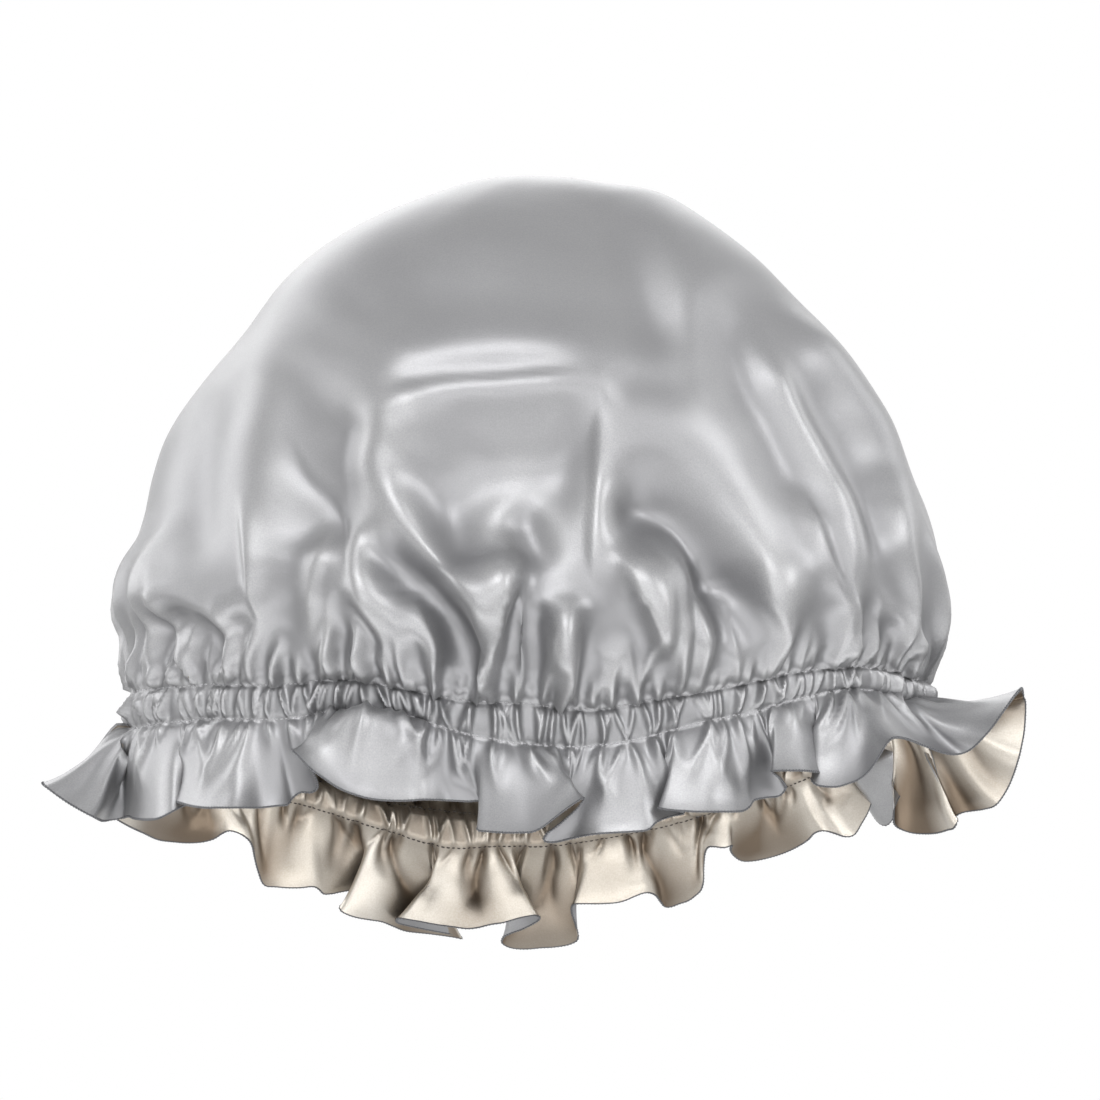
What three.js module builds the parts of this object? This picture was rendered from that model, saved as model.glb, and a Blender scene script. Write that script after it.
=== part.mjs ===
// A reversible satin hair bonnet, standing as it does on a head.
// Two cloth circles, silver outside and champagne inside, are sewn together at their edge.
// Two rows of stitches near the edge make a casing, and the elastic in it gathers the cloth:
// the crown swells above the casing, and the rest of the cloth stands out below it as a ruffle.
//
// Millimetres. +Z is up to the crown's top, -Y is the brow and +Y the nape.
// The origin is the centre of the head opening.

import * as THREE from 'three';

// Head opening: the oval, bent like a saddle, that the middle of the casing follows
const openingWidth = 235;
const openingDepth = 136;
const napeDrop = 16;
const sideRise = 12.5;

// Crown
const crownHeight = 168;
const crownWidth = 248;
const crownDepth = 193;
const crownTopShift = 5;
const foldDepth = 4;

// Cloth: each layer's wall, and the air between surfaces that touch on the real bonnet
const clothThickness = 0.6;
const touchGap = 0.3;

// Casing and elastic
const casingWidth = 12;
const elasticWidth = 10;
const elasticThickness = 0.9;

// Ruffle and its rolled edge
const ruffleWidth = 32;
const edgingThickness = 1.1;
const edgingLipWidth = 0.2;

// Sewing threads
const threadThickness = 0.5;
const tackThickness = 0.4;
const tackWidth = 7;

// How finely the cloth is faceted: stations round the ruffle, and fewer towards the top
const ruffleStations = 100;
const crownStations = ruffleStations / 2;
const topStations = crownStations / 2;

// The crown's outline seen from the brow. Each level has its share of the way up from the
// casing to the top, and its reach to both sides as shares of half the crown's width.
const crownOutlineShares = [
  { up: 0.86, left: 0.204, right: 0.240 },
  { up: 0.68, left: 0.484, right: 0.468 },
  { up: 0.50, left: 0.702, right: 0.684 },
  { up: 0.34, left: 0.884, right: 0.858 },
  { up: 0.20, left: 0.958, right: 0.972 },
  { up: 0.075, left: 0.975, right: 1.000 },
];

// How quickly the crown swells out over the brow and the nape, and how strongly the folds
// show at the nape
const swellShare = 0.16;
const napeFoldShare = 0.8;

// The main folds of the crown. Each has its place round the brow (a share of a turn from +X
// towards the nape), its share of the way up, its spread in both, and its height (negative for
// a hollow). The nape has the same folds as if seen in a mirror.
const crownFoldShares = [
  { turn: 0.640, up: 0.60, turnSpread: 0.060, upSpread: 0.16, height: 0.65 },
  { turn: 0.820, up: 0.58, turnSpread: 0.030, upSpread: 0.16, height: 0.72 },
  { turn: 0.745, up: 0.50, turnSpread: 0.030, upSpread: 0.06, height: 0.40 },
  { turn: 0.595, up: 0.33, turnSpread: 0.018, upSpread: 0.08, height: -0.65 },
  { turn: 0.735, up: 0.33, turnSpread: 0.018, upSpread: 0.06, height: -1.15 },
  { turn: 0.840, up: 0.30, turnSpread: 0.018, upSpread: 0.12, height: 0.75 },
  { turn: 0.887, up: 0.33, turnSpread: 0.014, upSpread: 0.08, height: -0.55 },
  { turn: 0.945, up: 0.33, turnSpread: 0.025, upSpread: 0.12, height: 0.60 },
  { turn: 0.612, up: 0.20, turnSpread: 0.014, upSpread: 0.06, height: -0.55 },
  { turn: 0.672, up: 0.20, turnSpread: 0.014, upSpread: 0.08, height: -0.40 },
  { turn: 0.718, up: 0.18, turnSpread: 0.016, upSpread: 0.07, height: 0.45 },
  { turn: 0.806, up: 0.18, turnSpread: 0.012, upSpread: 0.06, height: -0.55 },
  { turn: 0.852, up: 0.18, turnSpread: 0.014, upSpread: 0.07, height: 0.55 },
  { turn: 0.556, up: 0.12, turnSpread: 0.012, upSpread: 0.08, height: 0.40 },
  { turn: 0.645, up: 0.05, turnSpread: 0.022, upSpread: 0.06, height: -1.05 },
  { turn: 0.735, up: 0.05, turnSpread: 0.030, upSpread: 0.07, height: 0.48 },
  { turn: 0.808, up: 0.05, turnSpread: 0.016, upSpread: 0.06, height: 0.90 },
  { turn: 0.925, up: 0.04, turnSpread: 0.016, upSpread: 0.05, height: 0.55 },
];

// The ruffle's folds, outward and inward by turns: the place of each round the opening as a
// share of a turn, and how far the cloth stands out there as a share of the ruffle's width
const hemReachShares = [
  [0.061, 0.15], [0.100, 0.76], [0.130, 0.22], [0.154, 0.50], [0.175, 0.12], [0.196, 0.55],
  [0.217, 0.20], [0.242, 0.60], [0.264, 0.12], [0.288, 0.60], [0.315, 0.28], [0.340, 0.45],
  [0.370, 0.10], [0.403, 0.52], [0.436, 0.22], [0.468, 0.60], [0.494, 0.35], [0.526, 0.88],
  [0.556, 0.08], [0.584, 0.52], [0.606, 0.10], [0.634, 0.62], [0.650, 0.16], [0.682, 0.88],
  [0.722, 0.10], [0.760, 0.80], [0.782, 0.14], [0.800, 0.42], [0.816, 0.12], [0.834, 0.56],
  [0.852, 0.12], [0.866, 0.60], [0.878, 0.20], [0.904, 0.84], [0.930, 0.50], [0.985, 1.00],
];

// How much of its outward lean the ruffle has halfway down
const halfwayLeanShare = 0.75;

// The sharpest bend that a wall keeps its thickness round, as the cosine of half the bend
const sharpestShare = 0.35;

// The elastic's lapped ends: the place of the lap round the opening, and its length in stations
const lapTurnShare = 0.18;
const lapStations = 2;
const tackTurns = 7;
const tackStepsPerTurn = 6;
const tackMarginShare = 0.15;

const fullTurn = 2 * Math.PI;
const wrap = (value, size) => ((value % size) + size) % size;
const mix = (a, b, share) => a + (b - a) * share;

// Where things lie across the cloth, measured inwards from the silver layer's outer face
const outerInside = clothThickness;
const elasticRoom = elasticThickness + 2 * touchGap;
const lapRoom = 2 * elasticThickness + tackThickness + 4 * touchGap;
const lapStation = Math.round(lapTurnShare * ruffleStations);

// The extra height of the opening's rim above the plane of its centre
function rimHeight(angle) {
  return sideRise * Math.cos(2 * angle) - napeDrop * Math.sin(angle);
}

function foldHeight(turn, up) {
  const atNape = turn < 0.5;
  const browTurn = atNape ? 1 - turn : turn;
  let height = 0;
  for (const fold of crownFoldShares) {
    const across = (browTurn - fold.turn) / fold.turnSpread;
    const along = (up - fold.up) / fold.upSpread;
    height += fold.height * Math.exp(-across * across - along * along);
  }
  return foldDepth * height * (atNape ? napeFoldShare : 1);
}

// The ruffle's reach at any place, eased between the outward and inward folds of the table
function hemReach(turn) {
  const count = hemReachShares.length;
  let next = hemReachShares.findIndex(([place]) => place > turn);
  if (next < 0) next = 0;
  const [placeB, reachB] = hemReachShares[next];
  const [placeA, reachA] = hemReachShares[wrap(next - 1, count)];
  const share = wrap(turn - placeA, 1) / wrap(placeB - placeA, 1);
  return mix(reachA, reachB, (1 - Math.cos(Math.PI * share)) / 2);
}

function ovalPoint(angle, width, depth, height) {
  return new THREE.Vector3(width / 2 * Math.cos(angle), depth / 2 * Math.sin(angle), height);
}

// The outward direction of the opening's oval, level with the ground
function ovalOutward(angle) {
  const outward = new THREE.Vector3(Math.cos(angle) / openingWidth, Math.sin(angle) / openingDepth, 0);
  return outward.normalize();
}

// A point of the crown, on one of the levels of its outline
function crownPoint(turn, { up, left, right }) {
  const angle = turn * fullTurn;
  const rise = Math.sin(up * Math.PI / 2);
  const width = crownWidth * (Math.cos(angle) < 0 ? left : right);
  const tuck = openingWidth * crownDepth / crownWidth - openingDepth;
  const depth = crownDepth * (left + right) / 2 - tuck * Math.exp(-up / swellShare);
  const rowHeight = rimHeight(angle) + casingWidth / 2;
  const point = ovalPoint(angle, width, depth, mix(rowHeight, crownHeight, rise));
  point.x += crownTopShift * rise;
  return point.addScaledVector(ovalOutward(angle), foldHeight(turn, up));
}

// A point of the casing, on its upper or lower stitch row
function rowPoint(turn, side) {
  const angle = turn * fullTurn;
  return ovalPoint(angle, openingWidth, openingDepth, rimHeight(angle) + side * casingWidth / 2);
}

// A point of the ruffle, which keeps its width as it leans outwards
function rufflePoint(turn, widthShare, leanShare) {
  const reach = hemReach(turn) * leanShare;
  const point = rowPoint(turn, -1);
  point.addScaledVector(ovalOutward(turn * fullTurn), ruffleWidth * widthShare * reach);
  point.z -= ruffleWidth * widthShare * Math.sqrt(Math.max(1 - reach * reach, 0));
  return point;
}

// The levels of both layers from the top to the hem, each a closed ring of points
function makeLevels() {
  const ring = (count, point) => Array.from({ length: count }, (_, k) => point(k / count));
  const levels = [[new THREE.Vector3(crownTopShift, 0, crownHeight)]];
  crownOutlineShares.forEach((level, k) => {
    const stations = k < crownOutlineShares.length / 2 ? topStations : crownStations;
    levels.push(ring(stations, (turn) => crownPoint(turn, level)));
  });
  levels.push(ring(ruffleStations, (turn) => rowPoint(turn, 1)));
  levels.push(ring(ruffleStations, (turn) => rowPoint(turn, -1)));
  levels.push(ring(ruffleStations, (turn) => rufflePoint(turn, 0.5, halfwayLeanShare)));
  levels.push(ring(ruffleStations, (turn) => rufflePoint(turn, 1, 1)));
  return levels;
}

// Triangles between two rings, where the lower one has as many points, twice as many, or
// closes on a single top point
function joinRings(upper, lower, upperStart, lowerStart) {
  const triangles = [];
  for (let k = 0; k < lower; k += lower === 2 * upper ? 2 : 1) {
    const low = (step) => lowerStart + wrap(k + step, lower);
    if (upper === 1) {
      triangles.push([upperStart, low(0), low(1)]);
    } else if (upper === lower) {
      const high = (step) => upperStart + wrap(k + step, upper);
      triangles.push([high(0), low(0), low(1)], [high(0), low(1), high(1)]);
    } else {
      const high = (step) => upperStart + wrap(k / 2 + step, upper);
      triangles.push([high(0), low(0), low(1)], [high(0), low(1), high(1)]);
      triangles.push([high(1), low(1), low(2)]);
    }
  }
  return triangles;
}

// One skin of cloth: its points, its triangles with their faces out, and which ring is where
function makeSkin(levels) {
  const points = levels.flat();
  const starts = [];
  let start = 0;
  for (const level of levels) {
    starts.push(start);
    start += level.length;
  }
  const triangles = [];
  for (let k = 1; k < levels.length; k += 1) {
    triangles.push(...joinRings(levels[k - 1].length, levels[k].length, starts[k - 1], starts[k]));
  }
  return { points, triangles, starts, levels };
}

// The direction and length of a step of 1 off the skin at each point, so that every face
// moves out by that 1, as an even wall does. A very sharp fold is eased.
function evenSteps(skin) {
  const sums = skin.points.map(() => new THREE.Vector3());
  const touching = skin.points.map(() => []);
  for (const triangle of skin.triangles) {
    const [a, b, c] = triangle.map((k) => skin.points[k]);
    const area = new THREE.Vector3().subVectors(b, a).cross(new THREE.Vector3().subVectors(c, a));
    const facing = area.clone().normalize();
    for (const k of triangle) {
      sums[k].add(area);
      touching[k].push(facing);
    }
  }
  return sums.map((sum, k) => {
    const normal = sum.normalize();
    const least = Math.min(...touching[k].map((facing) => facing.dot(normal)));
    return normal.divideScalar(Math.max(least, sharpestShare));
  });
}

const levels = makeLevels();
const skin = makeSkin(levels);
const steps = evenSteps(skin);
const upperRow = levels.length - 4;
const lowerRow = levels.length - 3;
const hem = levels.length - 1;

// The room between the two layers at a point: a hair everywhere, more where the elastic lies
function layerRoom(level, k) {
  if (level !== upperRow && level !== lowerRow) return touchGap;
  const inLap = wrap(k - lapStation, ruffleStations) <= lapStations;
  return inLap ? lapRoom : elasticRoom;
}

// A point of the skin moved inwards by a depth
function inwards(level, k, depth) {
  const index = skin.starts[level] + wrap(k, skin.levels[level].length);
  return skin.points[index].clone().addScaledVector(steps[index], -depth);
}

function solidGeometry(points, triangles) {
  const geometry = new THREE.BufferGeometry();
  geometry.setAttribute('position', new THREE.Float32BufferAttribute(points.flatMap((p) => p.toArray()), 3));
  geometry.setIndex(triangles.flat());
  geometry.computeVertexNormals();
  return geometry;
}

// A layer of cloth between two depths, closed along the hem and open as the bonnet is
function layerGeometry(outerDepth, innerDepth) {
  const facesAt = (depthAt) => levels.flatMap(
    (ring, level) => ring.map((_, k) => inwards(level, k, depthAt(level, k))),
  );
  const outside = facesAt(outerDepth);
  const inside = facesAt(innerDepth);
  const shift = outside.length;
  const triangles = [...skin.triangles];
  for (const [a, b, c] of skin.triangles) {
    triangles.push([a + shift, c + shift, b + shift]);
  }
  const start = skin.starts[hem];
  for (let k = 0; k < ruffleStations; k += 1) {
    const here = start + k;
    const next = start + wrap(k + 1, ruffleStations);
    triangles.push([next, here, here + shift], [next, here + shift, next + shift]);
  }
  return solidGeometry([...outside, ...inside], triangles);
}

// A bar of four-sided section along a path of places. Each place gives its corners in order.
// A closed bar runs into its own start, and an open one has flat ends.
function barGeometry(sections, closed) {
  const corners = 4;
  const triangles = [];
  const joints = closed ? sections.length : sections.length - 1;
  for (let k = 0; k < joints; k += 1) {
    for (let c = 0; c < corners; c += 1) {
      const at = (section, corner) => wrap(section, sections.length) * corners + corner % corners;
      triangles.push([at(k, c), at(k, c + 1), at(k + 1, c + 1)]);
      triangles.push([at(k, c), at(k + 1, c + 1), at(k + 1, c)]);
    }
  }
  if (!closed) {
    const last = (sections.length - 1) * corners;
    triangles.push([0, 2, 1], [0, 3, 2], [last, last + 1, last + 2], [last, last + 2, last + 3]);
  }
  return solidGeometry(sections.flat(), triangles);
}

// A point within the casing: a station that may lie between two, a place across the casing
// from -1 at the lower row to 1 at the upper, and a depth
function casingPoint(station, across, depth) {
  const first = Math.floor(station);
  const alongRow = (level) => {
    const here = inwards(level, first, depth);
    return here.lerp(inwards(level, first + 1, depth), station - first);
  };
  return alongRow(lowerRow).lerp(alongRow(upperRow), (across + 1) / 2);
}

// The elastic: a flat band once round the casing, whose ends lie one over the other
function elasticGeometry() {
  const sections = [];
  const bandShare = elasticWidth / casingWidth;
  const lapFace = outerInside + 2 * touchGap + tackThickness;
  for (let k = 0; k <= ruffleStations + lapStations; k += 1) {
    let face = outerInside + touchGap;
    if (k <= lapStations) face = lapFace;
    if (k >= ruffleStations) face = lapFace + elasticThickness + touchGap;
    const corner = (across, depth) => casingPoint(lapStation + k, across, depth);
    sections.push([
      corner(bandShare, face), corner(-bandShare, face),
      corner(-bandShare, face + elasticThickness), corner(bandShare, face + elasticThickness),
    ]);
  }
  return barGeometry(sections, false);
}

// The thread that joins the elastic's lapped ends, sewn to and fro across them
function tackGeometry() {
  const sections = [];
  const shallow = outerInside + touchGap;
  const radius = tackThickness / 2;
  const station = stationLength(lapStation);
  const length = (1 - 2 * tackMarginShare) * lapStations * station;
  for (let k = 0; k <= tackTurns * tackStepsPerTurn; k += 1) {
    const phase = k / tackStepsPerTurn * Math.PI;
    const along = tackMarginShare * lapStations * station + length * phase / Math.PI / tackTurns;
    const across = -Math.cos(phase) * tackWidth / 2;
    const heading = new THREE.Vector2(length / Math.PI / tackTurns, Math.sin(phase) * tackWidth / 2);
    heading.normalize().multiplyScalar(radius);
    const place = (aside, depth) => casingPoint(
      lapStation + (along - aside * heading.y) / station,
      (across + aside * heading.x) / (casingWidth / 2),
      depth,
    );
    sections.push([
      place(1, shallow + radius), place(0, shallow),
      place(-1, shallow + radius), place(0, shallow + tackThickness),
    ]);
  }
  return barGeometry(sections, false);
}

// The distance between two neighbouring stations along the casing
function stationLength(station) {
  return inwards(lowerRow, station, 0).distanceTo(inwards(lowerRow, station + 1, 0));
}

// A thread that runs all round on one face of a stitch row
function threadGeometry(level, depthAt) {
  const sections = [];
  for (let k = 0; k < ruffleStations; k += 1) {
    const near = inwards(level, k, depthAt(k) - threadThickness / 2);
    const far = inwards(level, k, depthAt(k) + threadThickness / 2);
    const centre = near.clone().lerp(far, 0.5);
    const up = inwards(upperRow, k, depthAt(k)).sub(inwards(lowerRow, k, depthAt(k))).normalize();
    const above = centre.clone().addScaledVector(up, threadThickness / 2);
    const below = centre.clone().addScaledVector(up, -threadThickness / 2);
    sections.push([near, below, far, above]);
  }
  return barGeometry(sections, true);
}

// The direction and length of a step of 1 off the hem, square to it within the cloth
function hemStep(k) {
  const offEdges = [k - 1, k].map((first) => {
    const start = inwards(hem, first, 0);
    const edge = inwards(hem, first + 1, 0).sub(start).normalize();
    const off = start.sub(inwards(hem - 1, first, 0));
    return off.addScaledVector(edge, -off.dot(edge)).normalize();
  });
  const step = offEdges[0].clone().add(offEdges[1]).normalize();
  return step.divideScalar(Math.max(step.dot(offEdges[0]), sharpestShare));
}

// The rolled edge: a cord of thread and turned cloth that closes both layers along the hem
function edgingGeometry() {
  const sections = [];
  const bothLayers = 2 * clothThickness + touchGap;
  for (let k = 0; k < ruffleStations; k += 1) {
    const step = hemStep(k);
    const corner = (depth, drop) => inwards(hem, k, depth).addScaledVector(step, drop);
    const bottom = touchGap + edgingThickness;
    sections.push([
      corner(-edgingLipWidth, touchGap), corner(-edgingLipWidth, bottom),
      corner(bothLayers + edgingLipWidth, bottom), corner(bothLayers + edgingLipWidth, touchGap),
    ]);
  }
  return barGeometry(sections, true);
}

// Finishes
const silverSatin = { color: 0xb4b4b4, roughness: 0.35, metalness: 0.1 };
const champagneSatin = { color: 0xd9d0c1, roughness: 0.38, metalness: 0.05 };
const whiteElastic = { color: 0xe8e6e1, roughness: 0.9, metalness: 0 };
const silverThread = { color: 0xd6d6d6, roughness: 0.5, metalness: 0 };
const darkThread = { color: 0x3d342c, roughness: 0.6, metalness: 0 };
const greyEdging = { color: 0x5f6266, roughness: 0.6, metalness: 0 };

const bonnet = new THREE.Group();

function addPiece(name, geometry, finish) {
  const mesh = new THREE.Mesh(geometry, new THREE.MeshStandardMaterial(finish));
  mesh.name = name;
  bonnet.add(mesh);
}

const liningFace = (level, k) => outerInside + layerRoom(level, k);
addPiece('outer_shell', layerGeometry(() => 0, () => outerInside), silverSatin);
addPiece(
  'lining_shell',
  layerGeometry(liningFace, (level, k) => liningFace(level, k) + clothThickness),
  champagneSatin,
);
addPiece('elastic_band', elasticGeometry(), whiteElastic);
addPiece('elastic_lap_tack', tackGeometry(), silverThread);

const outsideDepth = () => -touchGap - threadThickness / 2;
for (const [row, level] of [['upper_row', upperRow], ['lower_row', lowerRow]]) {
  const insideDepth = (k) => liningFace(level, k) + clothThickness + touchGap + threadThickness / 2;
  addPiece(`${row}_needle_thread`, threadGeometry(level, outsideDepth), silverThread);
  addPiece(`${row}_bobbin_thread`, threadGeometry(level, insideDepth), darkThread);
}
addPiece('hem_edging', edgingGeometry(), greyEdging);

export default bonnet;
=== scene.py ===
# %% [markdown]
# # A reversible satin hair bonnet
# The bonnet is two cloth circles sewn together at their edge. Two stitch rows near the edge
# hold an elastic, which gathers the cloth into a puffed crown, a casing and a ruffle.
# This lesson shapes the cloth from a few curves, adds the gathers and folds, and finishes
# every surface with a procedural material. Shapes are worked out in millimetres and turned
# into metres when a mesh is made.

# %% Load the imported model, which fixes every size and place
import math

import bpy
import numpy as np
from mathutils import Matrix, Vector


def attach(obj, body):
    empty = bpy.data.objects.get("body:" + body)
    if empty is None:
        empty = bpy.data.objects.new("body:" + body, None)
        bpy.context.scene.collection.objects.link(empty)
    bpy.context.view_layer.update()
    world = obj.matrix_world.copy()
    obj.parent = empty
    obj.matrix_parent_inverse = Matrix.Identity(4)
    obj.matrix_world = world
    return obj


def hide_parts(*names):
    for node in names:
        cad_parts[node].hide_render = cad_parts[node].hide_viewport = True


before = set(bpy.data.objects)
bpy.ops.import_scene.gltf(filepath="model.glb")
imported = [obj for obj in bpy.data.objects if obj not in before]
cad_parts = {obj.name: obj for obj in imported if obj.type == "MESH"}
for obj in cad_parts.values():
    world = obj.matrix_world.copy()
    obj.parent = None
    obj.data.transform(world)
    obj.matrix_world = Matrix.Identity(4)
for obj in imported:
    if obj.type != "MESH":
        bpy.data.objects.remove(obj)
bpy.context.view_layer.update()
MM = 0.001

# %% [markdown]
# ## The camera comes first
# The photograph looks straight at the brow, level, from a distance at which the near and
# far sides differ little in size. A pixel is a fixed length in the bonnet's middle plane,
# so places read off the picture become places in space.

# %% Tie the photograph's pixels to millimetres
PHOTO_SIZE = 1100
PIXEL = 0.30
ORIGIN_PX = (527.0, 736.5)
CAMERA_DISTANCE = 1500.0
SENSOR = 36.0
camera_x = (PHOTO_SIZE / 2 - ORIGIN_PX[0]) * PIXEL
camera_z = (ORIGIN_PX[1] - PHOTO_SIZE / 2) * PIXEL


def from_photo(px, py, depth):
    """The x and z of a pixel, for a point that lies depth behind the middle plane."""
    scale = PIXEL * (CAMERA_DISTANCE + depth) / CAMERA_DISTANCE
    return camera_x + (px - PHOTO_SIZE / 2) * scale, camera_z - (py - PHOTO_SIZE / 2) * scale


def to_photo(points):
    """The pixels where points in space are seen."""
    scale = PIXEL * (CAMERA_DISTANCE + points[..., 1]) / CAMERA_DISTANCE
    px = PHOTO_SIZE / 2 + (points[..., 0] - camera_x) / scale
    py = PHOTO_SIZE / 2 - (points[..., 2] - camera_z) / scale
    return px, py


def placed(name, data):
    """A new object in the scene that holds a mesh, a lamp or a camera."""
    obj = bpy.data.objects.new(name, data)
    bpy.context.scene.collection.objects.link(obj)
    return obj


camera_data = bpy.data.cameras.new("front_camera")
camera_data.sensor_width = SENSOR
camera_data.lens = SENSOR * CAMERA_DISTANCE / (PHOTO_SIZE * PIXEL)
camera = placed("front_camera", camera_data)
camera.location = (camera_x * MM, -CAMERA_DISTANCE * MM, camera_z * MM)
camera.rotation_euler = (math.pi / 2, 0, 0)
bpy.context.scene.camera = camera
print("lens", round(camera_data.lens, 1), "mm")

# %% [markdown]
# ## Smooth curves through given points
# Cloth has no corners, so the points of each list are joined by cubics that pass through them.

# %% Helpers for curves
def smooth(low, high, value):
    """Rises smoothly from 0 at low to 1 at high."""
    share = np.clip((value - low) / (high - low), 0, 1)
    return share * share * (3 - 2 * share)


def curve_value(points, where):
    """A smooth function through (place, value) pairs, given in rising order."""
    x, y = np.array(points, float).T
    slope = np.gradient(y, x)
    k = np.clip(np.searchsorted(x, where) - 1, 0, len(x) - 2)
    step = x[k + 1] - x[k]
    s = np.clip((where - x[k]) / step, 0, 1)
    rise = y[k + 1] - y[k]
    a = slope[k] * step - rise
    b = rise - slope[k + 1] * step
    return y[k] + s * rise + s * (1 - s) * ((1 - s) * a + s * b)


def closed_curve(points, per_step):
    """A smooth closed path through points of any number of coordinates."""
    p = np.array(points, float)
    p = np.vstack([p[-1:], p, p[:2]])
    s = (np.arange(per_step) / per_step)[:, None]
    out = []
    for a, b, c, d in zip(p, p[1:], p[2:], p[3:]):
        before, here, after = (max(np.linalg.norm(v[:2]), 0.1) ** 0.5 for v in (b - a, c - b, d - c))
        start = ((b - a) / before - (c - a) / (before + here) + (c - b) / here) * here
        end = ((c - b) / here - (d - b) / (here + after) + (d - c) / after) * here
        out.append((2 * s**3 - 3 * s**2 + 1) * b + (s**3 - 2 * s**2 + s) * start
                   + (3 * s**2 - 2 * s**3) * c + (s**3 - s**2) * end)
    return np.vstack(out)


def unit(v):
    """The vectors drawn out or shortened to length 1."""
    return v / np.maximum(np.linalg.norm(v, axis=-1, keepdims=True), 1e-9)


# %% [markdown]
# ## The head opening
# The elastic pulls the casing into an oval. Its two stitch rows are read off the photograph:
# the silver side shows them at the brow, and the lining shows them at the nape, lower down.

# %% Stitch rows round the oval
OPENING_WIDTH = 235.0
OPENING_DEPTH = 136.0
BROW_UPPER_PX = [(134, 691), (160, 688), (210, 684), (285, 684), (350, 678), (406, 688),
                 (459, 699), (522, 702), (600, 708), (665, 696), (727, 686), (776, 675),
                 (838, 667), (882, 669), (918, 682)]
BROW_LOWER_PX = [(134, 729), (160, 724), (197, 720), (280, 719), (350, 711), (406, 716),
                 (457, 731), (509, 742), (574, 747), (633, 740), (698, 723), (763, 709),
                 (812, 695), (863, 690), (918, 706)]
NAPE_UPPER_PX = [(134, 691), (200, 735), (260, 768), (326, 783), (380, 801), (446, 812),
                 (520, 817), (600, 811), (680, 794), (760, 767), (840, 731), (918, 682)]
NAPE_LOWER_PX = [(134, 729), (200, 768), (262, 795), (304, 805), (350, 819), (402, 835),
                 (447, 847), (500, 846), (553, 845), (605, 838), (680, 822), (760, 797),
                 (840, 762), (918, 706)]
TURN = 2 * math.pi


def oval(angle):
    """The plan of the stitch rows at each angle; 0 is the picture's right, a quarter the nape."""
    return OPENING_WIDTH / 2 * np.cos(angle), OPENING_DEPTH / 2 * np.sin(angle)


def oval_outward(angle):
    """The level direction that leads straight out of the oval."""
    return unit(np.stack([np.cos(angle) / OPENING_WIDTH, np.sin(angle) / OPENING_DEPTH,
                          0 * angle], -1))


def row_points(angle, brow, nape):
    """The stitch row in space, whose height comes from the row's pixels in the picture."""
    x, y = oval(angle)
    px, _ = to_photo(np.stack([x, y, 0 * x], -1))
    py = np.where(y < 0, curve_value(brow, px), curve_value(nape, px))
    return np.stack([x, y, from_photo(px, py, y)[1]], -1)


def upper_row_at(angle):
    return row_points(angle, BROW_UPPER_PX, NAPE_UPPER_PX)


def lower_row_at(angle):
    return row_points(angle, BROW_LOWER_PX, NAPE_LOWER_PX)


fine_angle = np.linspace(0, TURN, 4001)
fine_plan = np.stack(oval(fine_angle), -1)
fine_steps = np.linalg.norm(np.diff(fine_plan, axis=0), axis=1)
fine_length = np.concatenate([[0], np.cumsum(fine_steps)])
GIRTH = fine_length[-1]
print("the opening is", round(GIRTH), "mm round")

# %% [markdown]
# ## The hem of the ruffle
# The hem is one closed curve. It runs along the brow from the left tip to the right tip and
# back along the nape, and doubles back on itself in every fold. Each point is a pixel of the
# photograph and the share of the ruffle's width by which it stands out from the casing.

# %% Follow the hem once round
RUFFLE_WIDTH = 32.0
HALVINGS = 40
BROW_HEM = [
    (46, 786, .86), (65, 800, .70), (93, 816, .55), (110, 820, .20), (121, 818, .06), (127, 816, .10),
    (135, 818, .25), (147, 819, .40), (160, 817, .50), (172, 811, .45), (182, 806, .28), (186, 804, .10),
    (180, 803, .18), (176, 801, .34), (190, 805, .48), (204, 807, .56), (217, 807, .60), (235, 807, .62),
    (260, 807, .35), (279, 805, .22), (288, 804, .14), (292, 798, .07), (300, 792, .05), (311, 792, .08),
    (317, 787, .16), (314, 775, .35), (306, 764, .60), (298, 755, .80), (292, 749, .93), (300, 757, .93),
    (311, 768, .88), (326, 779, .80), (338, 787, .75), (352, 793, .70), (370, 798, .65), (390, 800, .56),
    (407, 800, .48), (421, 799, .42), (433, 799, .30), (450, 800, .12), (468, 801, .07), (481, 802, .05),
    (484, 812, .10), (480, 822, .22), (477, 829, .34), (490, 831, .43), (505, 832, .52), (520, 832, .60),
    (533, 831, .66), (543, 826, .70), (552, 819, .73), (565, 809, .77), (575, 802, .80), (584, 797, .82),
    (580, 805, .66), (569, 816, .44), (556, 827, .26), (547, 834, .14), (544, 840, .08), (552, 842, .08),
    (571, 838, .11), (585, 835, .20), (599, 833, .27), (615, 832, .32), (632, 831, .36), (648, 829, .37),
    (656, 822, .30), (664, 818, .20), (674, 815, .12), (684, 813, .05), (680, 811, .12), (668, 808, .24),
    (658, 807, .34), (668, 809, .42), (680, 810, .47), (696, 811, .52), (710, 811, .55), (722, 811, .53),
    (736, 811, .45), (744, 810, .35), (750, 806, .26), (754, 800, .16), (766, 797, .08), (780, 795, .06),
    (785, 789, .12), (781, 780, .32), (776, 775, .48), (771, 771, .57), (780, 770, .60), (792, 770, .61),
    (802, 770, .58), (814, 771, .46), (826, 773, .26), (833, 775, .10), (826, 776, .10), (816, 776, .20),
    (811, 779, .32), (816, 784, .42), (826, 786, .52), (838, 786, .62), (848, 783, .68), (858, 779, .74),
    (866, 773, .79), (872, 766, .83), (879, 755, .88), (885, 745, .92), (890, 739, .92), (896, 737, .86),
    (905, 738, .70), (914, 741, .60), (921, 744, .55), (929, 747, .55), (942, 752, .57), (956, 754, .62),
    (965, 752, .68), (973, 747, .77), (983, 737, .87), (993, 725, .94), (1005, 708, .98), (1017, 692, 1.0)]
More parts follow.
